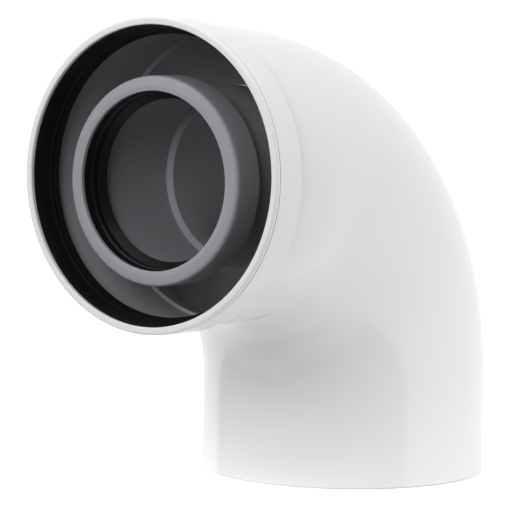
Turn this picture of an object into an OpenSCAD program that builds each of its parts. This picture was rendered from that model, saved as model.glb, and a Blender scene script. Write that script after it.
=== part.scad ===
// Coaxial flue elbow: an inner flue pipe held inside an outer air casing.
// Origin: centre of the casing spigot's open end. +Z runs up the spigot's axis.
// The mouth faces -Y, tilted up by the amount that the turn is short of a right angle.

/* [Layout] */
// Turn of the elbow, in degrees
turn = 87; // [80:1:90]
// Height of the point where the two pipe axes cross, above the spigot's end
axis_height = 105.5; // [102:0.5:120]
// Distance from that point to the plane of the mouth
mouth_reach = 115; // [112:0.5:130]

/* [Casing] */
// Outside diameter of the spigot and of the bend
casing_d = 100; // [99:0.5:101]
// Wall thickness of the casing
casing_wall = 0.8; // [0.6:0.1:1]
// Radius of the bend, along the centre line
casing_bend_r = 78; // [74:0.5:79]
// Inside diameter of the straight socket
socket_bore_d = 100.6; // [100.2:0.1:101]
// Depth of the socket's stop behind the mouth
socket_stop = 43; // [41:0.5:46]
// Outside diameter of the collar that houses the seal
collar_d = 106.6; // [106:0.1:108]
// Depth of the collar's back end behind the mouth
collar_depth = 13.6; // [12:0.2:16]

/* [Seal retaining ring] */
// Opening of the ring
ring_bore_d = 101.2; // [100.8:0.1:102]
// Thickness of the ring's flange, along the axis
ring_flange = 1.6; // [1.2:0.1:3]
// Width of the joint line between the ring and the collar
ring_joint = 0.4; // [0.3:0.1:1]

/* [Flue pipe] */
// Outside diameter of the flue spigot and bend
flue_d = 60; // [59.6:0.2:60.4]
// Wall thickness of the flue pipe
flue_wall = 1.8; // [1.6:0.1:2.2]
// Radius of the flue's bend, along the centre line
flue_bend_r = 67; // [64:0.5:68]
// Inside diameter of the flue socket
flue_bore_d = 60.4; // [60.4:0.1:61]
// Outside diameter of the straight socket tube
flue_socket_d = 63.6; // [63.4:0.1:65]
// Outside diameter of the bead that houses the seal
bead_d = 70.6; // [70:0.2:72]
// Length of the bead, along the axis
bead_length = 13; // [12:0.5:15]
// Depth of the bead's face behind the mouth
flue_inset = 3.6; // [2:0.1:6]
// Depth of the flue socket's stop behind the mouth
flue_stop = 49.6; // [46:0.2:50]
// Height of the flue spigot's end above the casing's
flue_recess = 2; // [1:0.5:5]
// Angle by which the flue hangs down in the casing, about the spigot's end
flue_sag = 0.85; // [0:0.05:0.9]

/* [Spacers] */
// Width of a spacer along the pipe
spacer_width = 8; // [5:0.5:10]
// Thickness of the clip ring and of the feet
spacer_wall = 2; // [1.5:0.1:2.5]
// Play between a foot and the casing
foot_play = 0.4; // [0.3:0.1:0.6]

/* [Hidden] */

$fn = 96;
white = [0.93, 0.93, 0.94];
grey = [0.55, 0.56, 0.58];
black = [0.06, 0.06, 0.06];
natural = [0.80, 0.80, 0.78];

fit = 0.05;           // gap left between faces that touch
round_steps = 4;      // flats in a rounded edge

casing_r = casing_d / 2;
casing_in_r = casing_r - casing_wall;
socket_r = socket_bore_d / 2;
socket_out_r = socket_r + casing_wall;
collar_r = collar_d / 2;
collar_in_r = collar_r - casing_wall - 0.05;
casing_leg = axis_height - casing_bend_r * tan(turn / 2);
shoulder = 1.2;       // length of the slope behind the collar
shell_back = 0.4;     // how far the collar's inner slope lies ahead of the outer one
swage = 2.6;          // length of the slope behind the casing's stop
flue_swage = 4.4;     // length of the slope behind the flue's stop
bury = 0.3;           // how deep a slope's thin end lies inside the pipe's wall
clear = 0.2;          // step from a stop's bore down to the pipe's
stop_slope = 1.2;     // length of the slope at the casing's stop
stop_step = 0.9;      // how far that slope runs inside the pipe's bore
collar_front = ring_flange + ring_joint;

ring_r = ring_bore_d / 2;
ring_edge = 1.1;      // rounding of the ring's outer edge
ring_ease = 0.3;      // chamfer at the ring's opening
skirt_in_r = collar_in_r - 0.8;
skirt_depth = collar_front + 1.4;
lip_r = socket_r + fit;

flue_r = flue_d / 2;
flue_in_r = flue_r - flue_wall;
flue_bore_r = flue_bore_d / 2;
flue_socket_r = flue_socket_d / 2;
bead_r = bead_d / 2;
flue_leg = axis_height - flue_bend_r * tan(turn / 2);
flue_straight = mouth_reach - flue_bend_r * tan(turn / 2);
groove_front = flue_inset + 1.6;
groove_back = flue_inset + bead_length - 1.4;
groove_r = bead_r - 1.4;
bead_slope = 3;       // length of the slope behind the bead
bead_round = 1.6;     // rounding of the bead's front edge

foot_width = 11;      // width of a foot, round the casing
arm_width = 2.4;      // width of the web that carries a foot
clip_gap = 48;        // opening of the clip ring, in degrees
spacer_lead = 2.8;    // angle of bend left free beside a spacer

// Places its children on the socket's axis: local z is 0 at the mouth and negative inside.
module at_mouth() {
    translate([0, 0, axis_height])
        rotate([turn, 0, 0])
            translate([0, 0, mouth_reach])
                children();
}

// Turns a section drawn as [radius, depth behind the mouth] into a ring.
module mouth_ring(section) {
    at_mouth()
        rotate_extrude()
            polygon([for (p = section) [p[0], -p[1]]]);
}

// Sweeps a flat section round a bend of radius r that starts at height leg.
module along_bend(r, leg, from, angle) {
    translate([0, -r, leg])
        rotate([90, 0, 90])
            rotate([0, 0, from])
                rotate_extrude(angle = angle)
                    translate([r, 0])
                        children();
}

module pipe_section(outer_r, inner_r) {
    difference() {
        circle(r = outer_r);
        circle(r = inner_r);
    }
}

// The flue and what rides on it hang down together in the casing.
module hung() {
    rotate([flue_sag, 0, 0])
        children();
}

// Spigot and bend of the casing as one solid rod.
module casing_rod(r, extra) {
    translate([0, 0, -extra])
        cylinder(r = r, h = casing_leg + extra);
    along_bend(casing_bend_r, casing_leg, 0, turn)
        circle(r = r);
}

// White casing: spigot, bend, stop, straight socket and seal collar.
module casing_elbow() {
    color(white)
        difference() {
            union() {
                casing_rod(casing_r, 0);
                mouth_ring([
                    [0, collar_front],
                    [collar_r - 0.2, collar_front],
                    [collar_r, collar_front + 0.2],
                    [collar_r, collar_depth],
                    [socket_out_r, collar_depth + shoulder],
                    [socket_out_r, socket_stop],
                    [casing_r - bury, socket_stop + swage],
                    [0, socket_stop + swage]
                ]);
            }
            casing_rod(casing_in_r, 1);
            mouth_ring([
                [0, 0],
                [collar_in_r, 0],
                [collar_in_r, collar_depth - shell_back],
                [socket_r, collar_depth + shoulder - shell_back],
                [socket_r, socket_stop],
                [casing_in_r - stop_step, socket_stop + stop_slope],
                [0, socket_stop + stop_slope]
            ]);
        }
}

// Ring that snaps into the collar's front and keeps the outer seal in.
module seal_retaining_ring() {
    color(white)
        mouth_ring(concat(
            [[ring_r, ring_flange], [ring_r, ring_ease], [ring_r + ring_ease, 0]],
            [for (i = [0 : round_steps])
                [
                    collar_r - ring_edge + ring_edge * sin(90 * i / round_steps),
                    ring_edge - ring_edge * cos(90 * i / round_steps)
                ]],
            [
                [collar_r, ring_flange],
                [collar_in_r - fit, ring_flange],
                [collar_in_r - fit, skirt_depth],
                [skirt_in_r, skirt_depth],
                [skirt_in_r, ring_flange]
            ]
        ));
}

// Outer lip seal, with its lips pressed back as a fitted pipe holds them.
module casing_lip_seal() {
    front = ring_flange + fit;
    back = collar_depth - shell_back - fit;
    color(black)
        mouth_ring([
            [lip_r, front],
            [skirt_in_r - fit, front],
            [skirt_in_r - fit, skirt_depth + fit],
            [collar_in_r - fit, skirt_depth + fit],
            [collar_in_r - fit, back],
            [lip_r + 0.5, back],
            [lip_r, back - 1],
            [lip_r, front + 5],
            [lip_r + 0.6, front + 4.4],
            [lip_r, front + 3.8]
        ]);
}

// Grey flue: spigot, bend, stop, straight socket and seal bead.
module flue_elbow() {
    end_angle = (flue_stop + flue_swage / 2 - flue_straight) / flue_bend_r * 180 / PI;
    color(grey)
        hung() {
            difference() {
                translate([0, 0, flue_recess])
                    cylinder(r = flue_r, h = flue_leg - flue_recess);
                cylinder(r = flue_in_r, h = flue_leg + 1);
            }
            along_bend(flue_bend_r, flue_leg, 0, turn - end_angle)
                pipe_section(flue_r, flue_in_r);
            mouth_ring(concat(
                [[flue_bore_r, groove_front], [flue_bore_r, flue_inset + 0.4], [flue_bore_r + 0.4, flue_inset]],
                [for (i = [0 : round_steps])
                    [
                        bead_r - bead_round + bead_round * sin(90 * i / round_steps),
                        flue_inset + bead_round - bead_round * cos(90 * i / round_steps)
                    ]],
                [
                    [bead_r, flue_inset + bead_length],
                    [flue_socket_r, flue_inset + bead_length + bead_slope],
                    [flue_socket_r, flue_stop],
                    [flue_r - bury, flue_stop + flue_swage],
                    [flue_in_r + clear, flue_stop + flue_swage],
                    [flue_in_r + clear, flue_stop + 3],
                    [flue_bore_r, flue_stop],
                    [flue_bore_r, groove_back],
                    [groove_r, groove_back],
                    [groove_r, groove_front]
                ]
            ));
        }
}

// Inner lip seal, with its lips pressed back as a fitted pipe holds them.
module flue_lip_seal() {
    front = groove_front + fit;
    back = groove_back - fit;
    inner = flue_bore_r + fit;
    color(black)
        hung()
            mouth_ring([
                [inner + 0.6, front],
                [groove_r - fit, front],
                [groove_r - fit, back],
                [inner + 0.6, back],
                [inner, back - 1],
                [inner, front + 5.4],
                [inner + 0.7, front + 4.6],
                [inner, front + 3.8],
                [inner, front + 1]
            ]);
}

// How far the flue's centre line lies outside the casing's, at an angle along the flue's bend.
function centre_offset(a) =
    let (
        y = -flue_bend_r + flue_bend_r * cos(a),
        z = flue_leg + flue_bend_r * sin(a),
        hung_y = y * cos(flue_sag) - z * sin(flue_sag),
        hung_z = y * sin(flue_sag) + z * cos(flue_sag)
    )
    norm([hung_y + casing_bend_r, hung_z - casing_leg]) - casing_bend_r;

// Section of a spacer: a clip ring with three arms, each ending in a curved foot.
module spacer_section(arm_angles, gap_angle, offset_out) {
    clip_r = flue_r + fit;
    reach = 2 * casing_r;
    difference() {
        circle(r = clip_r + spacer_wall);
        circle(r = clip_r);
        rotate(gap_angle)
            polygon([[0, 0], [reach, -reach * tan(clip_gap / 2)], [reach, reach * tan(clip_gap / 2)]]);
    }
    for (a = arm_angles) {
        foot_r = casing_in_r - foot_play - offset_out * cos(a);
        rotate(a) {
            translate([clip_r + spacer_wall / 2, -arm_width / 2])
                square([foot_r - clip_r - spacer_wall, arm_width]);
            intersection() {
                pipe_section(foot_r, foot_r - spacer_wall);
                translate([clip_r, -foot_width / 2])
                    square([reach, foot_width]);
            }
        }
    }
}

module spacer(from, arm_angles, gap_angle) {
    span = spacer_width / flue_bend_r * 180 / PI;
    color(natural)
        hung()
            along_bend(flue_bend_r, flue_leg, from, span)
                spacer_section(arm_angles, gap_angle, centre_offset(from + span / 2));
}

// Spacer just past the flue's socket.
module socket_spacer() {
    span = spacer_width / flue_bend_r * 180 / PI;
    spacer(turn - spacer_lead - span, [30, 150, 270], 210);
}

// Spacer at the start of the bend on the spigot side.
module spigot_spacer() {
    spacer(spacer_lead, [0, 120, 240], 180);
}

casing_elbow();
seal_retaining_ring();
casing_lip_seal();
flue_elbow();
flue_lip_seal();
socket_spacer();
spigot_spacer();
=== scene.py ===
import math

import bmesh
import bpy
from mathutils import Matrix, Vector


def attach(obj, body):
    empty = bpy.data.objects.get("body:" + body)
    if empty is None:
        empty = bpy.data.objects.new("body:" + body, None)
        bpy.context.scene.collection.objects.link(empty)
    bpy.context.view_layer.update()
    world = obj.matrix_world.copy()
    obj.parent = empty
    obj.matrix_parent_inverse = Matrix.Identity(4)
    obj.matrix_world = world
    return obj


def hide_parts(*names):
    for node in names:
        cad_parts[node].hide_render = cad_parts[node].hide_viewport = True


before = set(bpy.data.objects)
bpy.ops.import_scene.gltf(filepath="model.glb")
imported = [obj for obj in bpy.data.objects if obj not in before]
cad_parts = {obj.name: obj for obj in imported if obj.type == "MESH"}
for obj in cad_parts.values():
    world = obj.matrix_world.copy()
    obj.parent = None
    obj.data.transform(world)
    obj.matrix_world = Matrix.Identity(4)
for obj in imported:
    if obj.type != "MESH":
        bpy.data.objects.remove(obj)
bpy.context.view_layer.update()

MM = 0.001
FLOOR_GAP = 0.2 * MM

# ---------------------------------------------------------------- driving dimensions, in millimetres
TURN = math.radians(87.0)
AXIS_HEIGHT = 105.5
MOUTH_REACH = 115.0

CASING_R = 50.0
CASING_WALL = 0.8
CASING_BEND = 78.0
SOCKET_R = 50.3
SOCKET_STOP = 43.0
SOCKET_SLOPE = 0.8
SWAGE_LEAD = 13.0     # how far behind the socket's stop the casing starts to widen
SWAGE_LENGTH = 24.0
SWAGE_STEPS = 16
COLLAR_R = 53.3
COLLAR_DEPTH = 13.6
COLLAR_WALL = 0.4     # the shell behind the seal
FIT = 0.05            # gap left between faces that touch
RING_R = 50.6
RING_FLANGE = 1.6
RING_JOINT = 0.4
RING_EDGE = 1.1
RING_EASE = 0.3
SKIRT_DEPTH = 1.4
SKIRT_WALL = 0.8

FLUE_R = 30.0
FLUE_WALL = 1.8
FLUE_BEND = 67.0
FLUE_BORE = 30.2
FLUE_SOCKET = 31.8
BEAD_R = 35.3
BEAD_FRONT = 3.6
BEAD_LENGTH = 13.0
BEAD_LIP = 1.6
BEAD_WALL = 1.4
FLUE_STOP = 49.6
FLUE_STEP = 0.8
FLUE_SLOPE = 1.2
FLUE_RECESS = 2.0
FLUE_SAG = math.radians(0.85)

SPACER_WIDTH = 8.0
SPACER_WALL = 2.0
SPACER_LEAD = math.radians(2.8)
FOOT_WIDTH = 11.0
FOOT_PLAY = 0.4
ARM_WIDTH = 2.4
CLIP_GAP = math.radians(48.0)

AROUND = 192          # vertices round a pipe
RING_STEP = 2.5       # longest stretch of pipe between two rings


# ---------------------------------------------------------------- centre lines
class Path:
    """Centre line of a pipe: up from the spigot's end, round the bend, and straight to the mouth."""

    def __init__(self, bend_r, sag=0.0):
        self.bend_r = bend_r
        self.leg = AXIS_HEIGHT - bend_r * math.tan(TURN / 2)
        self.straight = MOUTH_REACH - bend_r * math.tan(TURN / 2)
        self.length = self.leg + bend_r * TURN + self.straight
        self.hang = Matrix.Rotation(sag, 4, "X")

    def at(self, s):
        """(centre, outward normal in the plane of the bend) at s along the line."""
        angle = min(max((s - self.leg) / self.bend_r, 0.0), TURN)
        along = s - self.leg - self.bend_r * TURN if angle == TURN else min(s - self.leg, 0.0)
        out = Vector((0.0, math.cos(angle), math.sin(angle)))
        forward = Vector((0.0, -math.sin(angle), math.cos(angle)))
        bend_centre = Vector((0.0, -self.bend_r, self.leg))
        centre = bend_centre + self.bend_r * out + along * forward
        return self.hang @ centre, self.hang.to_3x3() @ out

    def point(self, s, out_by, side_by):
        centre, out = self.at(s)
        return (centre + out_by * out + side_by * Vector((1.0, 0.0, 0.0))) * MM


casing_path = Path(CASING_BEND)
flue_path = Path(FLUE_BEND, FLUE_SAG)


# ---------------------------------------------------------------- sections
def fillet(points, steps=4):
    """Closed section from (radius, depth or s, rounding) corners, each corner replaced by an arc."""
    out = []
    n = len(points)
    for i in range(n):
        p = Vector(points[i][:2])
        a = Vector(points[i - 1][:2]) - p
        b = Vector(points[(i + 1) % n][:2]) - p
        la, lb = a.length, b.length
        a, b = a / la, b / lb
        corner = a.angle(b)
        r = points[i][2]
        reach = min(r / math.tan(corner / 2), 0.45 * la, 0.45 * lb)
        if r <= 0 or reach < 1e-3 or corner > math.radians(176):
            out.append(tuple(p))
            continue
        for k in range(steps + 1):
            t = k / steps
            u, v = p + a * reach, p + b * reach
            q = u * (1 - t) ** 2 + p * 2 * t * (1 - t) + v * t ** 2
            out.append(tuple(q))
    return out


def refine(section, step=RING_STEP):
    """Splits the long stretches of a section, so that it follows the bend smoothly."""
    out = []
    for i, p in enumerate(section):
        q = section[(i + 1) % len(section)]
        parts = max(1, math.ceil(abs(q[1] - p[1]) / step))
        for k in range(parts):
            t = k / parts
            out.append((p[0] + (q[0] - p[0]) * t, p[1] + (q[1] - p[1]) * t))
    return out


def behind_mouth(path, corners):
    """Turns depths behind the mouth into distances along the centre line."""
    return [(r, path.length - depth, rounding) for r, depth, rounding in corners]


# ---------------------------------------------------------------- meshes
def finish_mesh(name, bm, materials, replaced):
    bmesh.ops.recalc_face_normals(bm, faces=bm.faces)
    mesh = bpy.data.meshes.new(name)
    bm.to_mesh(mesh)
    bm.free()
    for m in materials:
        mesh.materials.append(m)
    for p in mesh.polygons:
        p.use_smooth = True
    obj = bpy.data.objects.new(name, mesh)
    bpy.context.scene.collection.objects.link(obj)
    weighted = obj.modifiers.new("weighted_normals", "WEIGHTED_NORMAL")
    weighted.mode = "FACE_AREA_WITH_ANGLE"
    weighted.weight = 60
    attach(obj, "root")
    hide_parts(replaced)
    return obj


def sweep(name, path, section, materials, replaced, inside=None):
    """A tube with the given closed section, swept round the path's centre line.

    inside(radius, s) picks the second material.
    """
    bm = bmesh.new()
    rings = []
    for r, s in section:
        ring = []
        for j in range(AROUND):
            phi = 2 * math.pi * j / AROUND
            ring.append(bm.verts.new(path.point(s, r * math.cos(phi), r * math.sin(phi))))
        rings.append(ring)
    n = len(rings)
    for i in range(n):
        a, b = rings[i], rings[(i + 1) % n]
        mid_r = (section[i][0] + section[(i + 1) % n][0]) / 2
        mid_s = (section[i][1] + section[(i + 1) % n][1]) / 2
        second = bool(inside and inside(mid_r, mid_s))
        for j in range(AROUND):
            k = (j + 1) % AROUND
            face = bm.faces.new((a[j], a[k], b[k], b[j]))
            face.material_index = 1 if second else 0
    return finish_mesh(name, bm, materials, replaced)


# ---------------------------------------------------------------- materials
def nodes_of(name):
    m = bpy.data.materials.new(name)
    m.use_nodes = True
    nt = m.node_tree
    return m, nt, nt.nodes["Principled BSDF"]


def add(nt, kind, inputs=None, **props):
    node = nt.nodes.new(kind)
    for k, v in props.items():
        setattr(node, k, v)
    for k, v in (inputs or {}).items():
        if isinstance(v, bpy.types.NodeSocket):
            nt.links.new(v, node.inputs[k])
        else:
            node.inputs[k].default_value = v
    return node


def noise(nt, vector, scale, detail=3.0, rough=0.5):
    return add(nt, "ShaderNodeTexNoise", {"Vector": vector, "Scale": scale, "Detail": detail,
                                          "Roughness": rough}).outputs["Fac"]


def span(nt, value, lo, hi, from_lo=0.3, from_hi=0.7):
    return add(nt, "ShaderNodeMapRange", {"Value": value, "From Min": from_lo, "From Max": from_hi,
                                          "To Min": lo, "To Max": hi}).outputs["Result"]


def mix_colour(nt, fac, a, b):
    node = nt.nodes.new("ShaderNodeMix")
    node.data_type = "RGBA"
    for socket, v in ((node.inputs[0], fac), (node.inputs[6], a), (node.inputs[7], b)):
        if isinstance(v, bpy.types.NodeSocket):
            nt.links.new(v, socket)
        else:
            socket.default_value = v if not isinstance(v, tuple) or len(v) == 4 else (*v, 1.0)
    return node.outputs[2]


def surface(name, tones, roughness, cloud, grain, grain_mm, wear, wear_amount, **sockets):
    """Two close tones in a soft cloud, uneven roughness, a fine grain, and worn edges."""
    m, nt, bsdf = nodes_of(name)
    place = nt.nodes.new("ShaderNodeTexCoord").outputs["Object"]
    colour = mix_colour(nt, span(nt, noise(nt, place, cloud), 0.0, 1.0), *tones)
    edge = nt.nodes.new("ShaderNodeNewGeometry").outputs["Pointiness"]
    rubbed = span(nt, edge, 0.0, wear_amount, 0.52, 0.60)
    patchy = span(nt, noise(nt, place, cloud * 14), 0.2, 1.0)
    amount = add(nt, "ShaderNodeMath", {0: rubbed, 1: patchy}, operation="MULTIPLY").outputs[0]
    colour = mix_colour(nt, amount, colour, wear)
    nt.links.new(colour, bsdf.inputs["Base Color"])
    rough = span(nt, noise(nt, place, cloud * 5, 4.0, 0.6), *roughness)
    nt.links.new(rough, bsdf.inputs["Roughness"])
    bump = add(nt, "ShaderNodeBump", {"Height": noise(nt, place, grain, 2.0), "Strength": 1.0,
                                      "Distance": grain_mm * MM})
    nt.links.new(bump.outputs["Normal"], bsdf.inputs["Normal"])
    for k, v in sockets.items():
        bsdf.inputs[k.replace("_", " ")].default_value = v
    return m


gloss_white = surface("gloss_white_coating", ((0.745, 0.742, 0.762), (0.765, 0.762, 0.778)), (0.30, 0.38),
                      18.0, 160.0, 0.0008, (0.60, 0.60, 0.61), 0.2, Coat_Weight=1.0,
                      Coat_Roughness=0.04, Coat_IOR=1.52, Specular_IOR_Level=0.2)
grey_primer = surface("grey_primer", ((0.42, 0.425, 0.445), (0.46, 0.465, 0.485)), (0.34, 0.44),
                      22.0, 1400.0, 0.01, (0.5, 0.5, 0.51), 0.3)
grey_pp = surface("grey_polypropylene", ((0.275, 0.277, 0.297), (0.31, 0.312, 0.332)), (0.34, 0.44),
                  20.0, 1800.0, 0.01, (0.48, 0.48, 0.50), 0.4)
black_epdm = surface("black_epdm", ((0.003, 0.003, 0.0033), (0.005, 0.005, 0.0054)), (0.36, 0.50),
                     30.0, 2200.0, 0.02, (0.015, 0.015, 0.015), 0.4, Specular_IOR_Level=0.3)
natural_pp = surface("natural_polypropylene", ((0.56, 0.56, 0.53), (0.62, 0.62, 0.59)), (0.36, 0.48),
                     30.0, 1500.0, 0.02, (0.7, 0.7, 0.68), 0.4)


# ---------------------------------------------------------------- casing
casing_in = CASING_R - CASING_WALL
socket_out = SOCKET_R + CASING_WALL
collar_in = COLLAR_R - CASING_WALL - 0.05
collar_front = RING_FLANGE + RING_JOINT
skirt_in = collar_in - SKIRT_WALL
skirt_back = collar_front + SKIRT_DEPTH
mouth = casing_path.length
swage = []
for step in range(SWAGE_STEPS + 1):
    t = step / SWAGE_STEPS
    grown = (socket_out - CASING_R) * t * t * (3 - 2 * t)
    swage.append((CASING_R + grown, mouth - SOCKET_STOP - SWAGE_LEAD + SWAGE_LENGTH * t, 0.0))
casing_section = refine(fillet([
    (CASING_R, 0.0, 0.3),
    *swage,
    (socket_out, mouth - COLLAR_DEPTH - 1.2, 0.5),
    (COLLAR_R, mouth - COLLAR_DEPTH, 0.45),
    (COLLAR_R, mouth - collar_front, 0.3),
    (collar_in, mouth - collar_front, 0.1),
    (collar_in, mouth - COLLAR_DEPTH + COLLAR_WALL, 0.2),
    (SOCKET_R, mouth - COLLAR_DEPTH - 0.8, 0.3),
    (SOCKET_R, mouth - SOCKET_STOP, 0.25),
    (casing_in, mouth - SOCKET_STOP - SOCKET_SLOPE, 0.35),
    (casing_in, 0.0, 0.2),
]))


def is_inside(r, s):
    """True on the casing's inner faces, which are primed and not coated."""
    bore = r < casing_in + 0.2
    socket = r < SOCKET_R + 0.2 and s > mouth - SOCKET_STOP - 1.0
    collar = r < collar_in + 0.1 and mouth - COLLAR_DEPTH - 0.8 < s < mouth - collar_front - 0.2
    return bore or socket or collar


sweep("casing_elbow_shell", casing_path, casing_section, [gloss_white, grey_primer],
      "casing_elbow", inside=is_inside)

# ---------------------------------------------------------------- seal retaining ring
crest = COLLAR_R - RING_EDGE
edge_arc = [(crest + RING_EDGE * math.sin(t), RING_EDGE - RING_EDGE * math.cos(t), 0.0)
            for t in (math.radians(90 * k / 12) for k in range(1, 13))]
ring_section = fillet(behind_mouth(casing_path, [
    (RING_R, RING_EASE, 0.1),
    (RING_R + RING_EASE, 0.0, 0.15),
    (crest, 0.0, 0.0),
    *edge_arc,
    (COLLAR_R, RING_FLANGE, 0.12),
    (collar_in - FIT, RING_FLANGE, 0.1),
    (collar_in - FIT, skirt_back, 0.2),
    (skirt_in, skirt_back, 0.2),
    (skirt_in, RING_FLANGE, 0.1),
    (RING_R, RING_FLANGE, 0.15),
]), steps=4)
sweep("seal_retaining_ring_trim", casing_path, ring_section, [gloss_white],
      "seal_retaining_ring")

# ---------------------------------------------------------------- seals, with their lips relaxed
seal_front = RING_FLANGE + FIT
seal_back = COLLAR_DEPTH - COLLAR_WALL - FIT
outer_seal_section = fillet(behind_mouth(casing_path, [
    (50.45, seal_front, 0.15),
    (50.15, 2.6, 0.4),
    (49.15, 7.7, 0.6),
    (48.55, 8.6, 0.35),
    (48.75, 9.3, 0.3),
    (47.6, 11.4, 0.3),
    (47.95, 11.9, 0.3),
    (49.9, 9.6, 0.8),
    (51.0, seal_back, 0.3),
    (collar_in - FIT, seal_back, 0.3),
    (collar_in - FIT, skirt_back + FIT, 0.1),
    (skirt_in - FIT, skirt_back + FIT, 0.1),
    (skirt_in - FIT, seal_front, 0.1),
]), steps=5)
sweep("casing_lip_seal_rubber", casing_path, outer_seal_section, [black_epdm],
      "casing_lip_seal")

bead_back = BEAD_FRONT + BEAD_LENGTH
groove_front = BEAD_FRONT + BEAD_LIP
groove_back = bead_back - BEAD_WALL
groove_r = BEAD_R - BEAD_WALL
inner_seal_section = fillet(behind_mouth(flue_path, [
    (30.5, groove_front + FIT, 0.3),
    (30.15, 8.3, 0.4),
    (29.45, 9.0, 0.7),
    (29.35, 10.4, 0.7),
    (29.9, 11.2, 0.4),
    (27.4, 14.0, 0.3),
    (27.75, 14.5, 0.3),
    (30.3, 12.6, 0.6),
    (30.9, groove_back - FIT, 0.3),
    (groove_r - FIT, groove_back - FIT, 0.3),
    (groove_r - FIT, groove_front + FIT, 0.3),
]), steps=5)
sweep("flue_lip_seal_rubber", flue_path, inner_seal_section, [black_epdm], "flue_lip_seal")

# ---------------------------------------------------------------- flue
flue_in = FLUE_R - FLUE_WALL
flue_mouth = flue_path.length
flue_section = refine(fillet([
    (FLUE_R, FLUE_RECESS, 0.5),
    (FLUE_R, flue_mouth - FLUE_STOP - 3.8, 8.0),
    (FLUE_SOCKET, flue_mouth - FLUE_STOP, 8.0),
    (FLUE_SOCKET, flue_mouth - bead_back - 3.0, 1.2),
    (BEAD_R, flue_mouth - bead_back, 1.5),
    (BEAD_R, flue_mouth - BEAD_FRONT - 0.5, 1.9),
    (FLUE_BORE + 1.6, flue_mouth - BEAD_FRONT, 2.5),
    (FLUE_BORE, flue_mouth - BEAD_FRONT - 0.1, 0.4),
    (FLUE_BORE, flue_mouth - groove_front, 0.15),
    (groove_r, flue_mouth - groove_front, 0.2),
    (groove_r, flue_mouth - groove_back, 0.2),
    (FLUE_BORE, flue_mouth - groove_back, 0.3),
    (FLUE_BORE, flue_mouth - FLUE_STOP - FLUE_STEP, 0.3),
    (flue_in, flue_mouth - FLUE_STOP - FLUE_STEP - FLUE_SLOPE, 0.5),
    (flue_in, FLUE_RECESS, 0.3),
]))
sweep("flue_elbow_pipe", flue_path, flue_section, [grey_pp], "flue_elbow")


# ---------------------------------------------------------------- spacers
spacer_turn = SPACER_WIDTH / FLUE_BEND     # the angle that a spacer takes up along the flue's bend


def centre_offset(angle):
    """How far the flue's centre line lies outside the casing's, at an angle along the flue's bend."""
    point = flue_path.at(flue_path.leg + FLUE_BEND * angle)[0]
    return math.hypot(point.y + CASING_BEND, point.z - casing_path.leg) - CASING_BEND


def spacer_outline(arms, gap, offset):
    """Clip ring with three arms and curved feet, as (out, side) points in order round the shape."""
    inner = FLUE_R + FIT
    outer = inner + SPACER_WALL
    half = ARM_WIDTH / 2
    start, end = gap + CLIP_GAP / 2, gap - CLIP_GAP / 2 + 2 * math.pi
    stops = sorted(a if a > start else a + 2 * math.pi for a in arms)
    points = []

    def arc(r, a0, a1, steps):
        for k in range(steps + 1):
            a = a0 + (a1 - a0) * k / steps
            points.append((r * math.cos(a), r * math.sin(a)))

    here = start
    for a in stops:
        foot = casing_in - FOOT_PLAY - offset * math.cos(a)
        under = foot - SPACER_WALL
        at_ring, at_foot = math.asin(half / outer), math.asin(half / under)
        wide_in, wide_out = math.asin(FOOT_WIDTH / 2 / under), math.asin(FOOT_WIDTH / 2 / foot)
        arc(outer, here, a - at_ring, 16)
        arc(under, a - at_foot, a - wide_in, 4)
        arc(foot, a - wide_out, a + wide_out, 10)
        arc(under, a + wide_in, a + at_foot, 4)
        here = a + at_ring
    arc(outer, here, end, 12)
    arc(inner, end, start, 64)
    return points


def spacer(name, from_angle, arms, gap, replaced):
    """One clip-on spacer that starts at from_angle along the flue's bend."""
    outline = spacer_outline([math.radians(a) for a in arms], math.radians(gap),
                             centre_offset(from_angle + spacer_turn / 2))
    bm = bmesh.new()
    slices = []
    cuts = 4
    for i in range(cuts + 1):
        s = flue_path.leg + FLUE_BEND * (from_angle + spacer_turn * i / cuts)
        slices.append([bm.verts.new(flue_path.point(s, u, v)) for u, v in outline])
    n = len(outline)
    for a, b in zip(slices, slices[1:]):
        for j in range(n):
            k = (j + 1) % n
            bm.faces.new((a[j], a[k], b[k], b[j]))
    bm.faces.new(slices[0])
    bm.faces.new(slices[-1])
    obj = finish_mesh(name, bm, [natural_pp], replaced)
    bevel = obj.modifiers.new("edges", "BEVEL")
    bevel.width = 0.35 * MM
    bevel.segments = 2
    bevel.limit_method = "ANGLE"
    bevel.angle_limit = math.radians(40)
    obj.modifiers.move(1, 0)
    return obj


spacer("socket_spacer_clip", TURN - SPACER_LEAD - spacer_turn, [30, 150, 270], 210, "socket_spacer")
spacer("spigot_spacer_clip", SPACER_LEAD, [0, 120, 240], 180, "spigot_spacer")

# ---------------------------------------------------------------- camera
AZIMUTH = math.radians(36.506)
ELEVATION = math.radians(6.273)
ROLL = math.radians(0.984)
DISTANCE = 1478.3 * MM
AIM = Vector((-3.7, -50.0, 80.0)) * MM

away = Vector((math.sin(AZIMUTH) * math.cos(ELEVATION), -math.cos(AZIMUTH) * math.cos(ELEVATION),
               math.sin(ELEVATION)))
level = Vector((math.cos(AZIMUTH), math.sin(AZIMUTH), 0.0))
upright = away.cross(level)
right = level * math.cos(ROLL) + upright * math.sin(ROLL)
up = upright * math.cos(ROLL) - level * math.sin(ROLL)
camera_data = bpy.data.cameras.new("camera")
camera_data.lens = 302.0
camera_data.sensor_width = 36.0
camera_data.clip_start = 0.05
camera_data.clip_end = 100.0
camera = bpy.data.objects.new("camera", camera_data)
bpy.context.scene.collection.objects.link(camera)
facing = Matrix((right, up, away)).transposed().to_4x4()
camera.matrix_world = Matrix.Translation(AIM + DISTANCE * away) @ facing
bpy.context.scene.camera = camera

# ---------------------------------------------------------------- floor, light and world
bpy.context.scene.view_settings.view_transform = "Standard"


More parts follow.
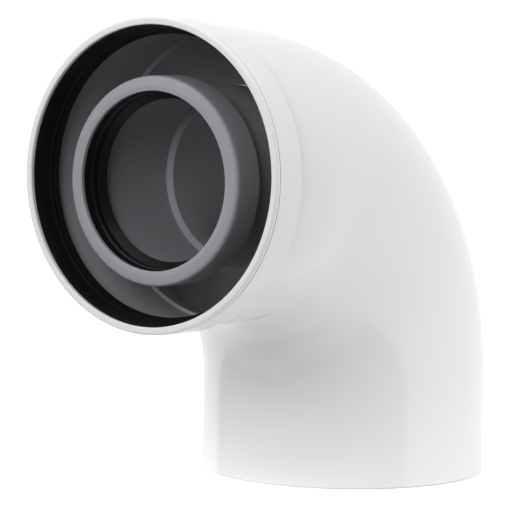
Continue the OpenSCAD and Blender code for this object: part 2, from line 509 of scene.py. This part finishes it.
def floor():
    """A pale floor that is only seen: the light tables stand in for its bounce."""
    bm = bmesh.new()
    half = 20.0
    corners = ((-half, -half), (half, -half), (half, half), (-half, half))
    bm.faces.new([bm.verts.new((x, y, -FLOOR_GAP)) for x, y in corners])
    mesh = bpy.data.meshes.new("floor")
    bm.to_mesh(mesh)
    bm.free()
    m, nt, bsdf = nodes_of("pale_floor")
    place = nt.nodes.new("ShaderNodeTexCoord").outputs["Object"]
    colour = mix_colour(nt, noise(nt, place, 3.0), (0.90, 0.90, 0.90), (0.92, 0.92, 0.92))
    nt.links.new(colour, bsdf.inputs["Base Color"])
    bsdf.inputs["Roughness"].default_value = 0.7
    bsdf.inputs["Specular IOR Level"].default_value = 0.1
    bsdf.inputs["Emission Color"].default_value = (1.0, 1.0, 1.0, 1.0)
    bsdf.inputs["Emission Strength"].default_value = 0.6
    mesh.materials.append(m)
    obj = bpy.data.objects.new("floor", mesh)
    bpy.context.scene.collection.objects.link(obj)
    obj.visible_diffuse = False
    obj.visible_glossy = False
    obj.visible_shadow = False


def softbox(name, centre, target, width, height, power):
    data = bpy.data.lights.new(name, "AREA")
    data.shape = "RECTANGLE"
    data.size, data.size_y = width, height
    data.energy = power
    obj = bpy.data.objects.new(name, data)
    obj.location = centre
    obj.rotation_mode = "QUATERNION"
    obj.rotation_quaternion = (Vector(target) - Vector(centre)).to_track_quat("-Z", "Y")
    bpy.context.scene.collection.objects.link(obj)
    return obj


def light_table(name, x0, x1, y0, y1, radiance):
    """Light that the pale floor throws back up at the part."""
    centre = Vector(((x0 + x1) / 2, (y0 + y1) / 2, FLOOR_GAP))
    wide, deep = x1 - x0, y1 - y0
    lamp = softbox(name, centre, centre + Vector((0, 0, 1)), wide, deep, radiance * math.pi * wide * deep)
    lamp.rotation_mode = "XYZ"
    lamp.rotation_euler = (math.pi, 0.0, 0.0)
    lamp.visible_camera = False
    lamp.visible_glossy = False


floor()
# the top box shows in the gloss, and the two fills only light the part
softbox("softbox_top", (0.1, 0.0, 1.5), (0.0, -0.04, 0.08), 1.5, 1.5, 3.5)
for name, centre, power in (("softbox_left", (-0.8, -1.1, 0.5), 5.0),
                            ("softbox_front", (0.4, -1.4, 0.6), 10.0)):
    lamp = softbox(name, centre, (0.0, -0.1, 0.08), 0.6, 0.6, power)
    lamp.visible_glossy = False
    lamp.visible_camera = False
light_table("light_table", -0.35, 0.45, -0.06, 0.55, 0.8)
light_table("light_table_front", -0.08, 0.14, -0.10, -0.06, 0.22)

world = bpy.data.worlds.new("studio")
world.use_nodes = True
nt = world.node_tree
way = add(nt, "ShaderNodeSeparateXYZ", {0: nt.nodes.new("ShaderNodeTexCoord").outputs["Generated"]}).outputs
# bright behind, above and below, with a dark card in front and to the right
behind = span(nt, way["Y"], 0.0, 1.0, -0.06, 0.02)
above = span(nt, way["Z"], 0.0, 1.0, 0.28, 0.48)
below = span(nt, way["Z"], 0.7, 0.0, -0.54, -0.50)
height = add(nt, "ShaderNodeMath", {0: way["Z"]}, operation="ABSOLUTE").outputs[0]
beside = span(nt, way["X"], 0.0, 1.0, -0.25, -0.05)
card = add(nt, "ShaderNodeMath", {0: beside, 1: span(nt, height, 1.0, 0.0, 0.72, 0.82)},
           operation="MULTIPLY").outputs[0]
open_sky = add(nt, "ShaderNodeMath", {0: above, 1: below}, operation="MAXIMUM").outputs[0]
open_sky = add(nt, "ShaderNodeMath", {0: open_sky, 1: card}, operation="SUBTRACT", use_clamp=True).outputs[0]
bright = add(nt, "ShaderNodeMath", {0: behind, 1: open_sky}, operation="MAXIMUM").outputs[0]
nt.links.new(span(nt, bright, 0.15, 1.0, 0.0, 1.0), nt.nodes["Background"].inputs["Strength"])
nt.nodes["Background"].inputs["Color"].default_value = (1.0, 1.0, 1.0, 1.0)
bpy.context.scene.world = world
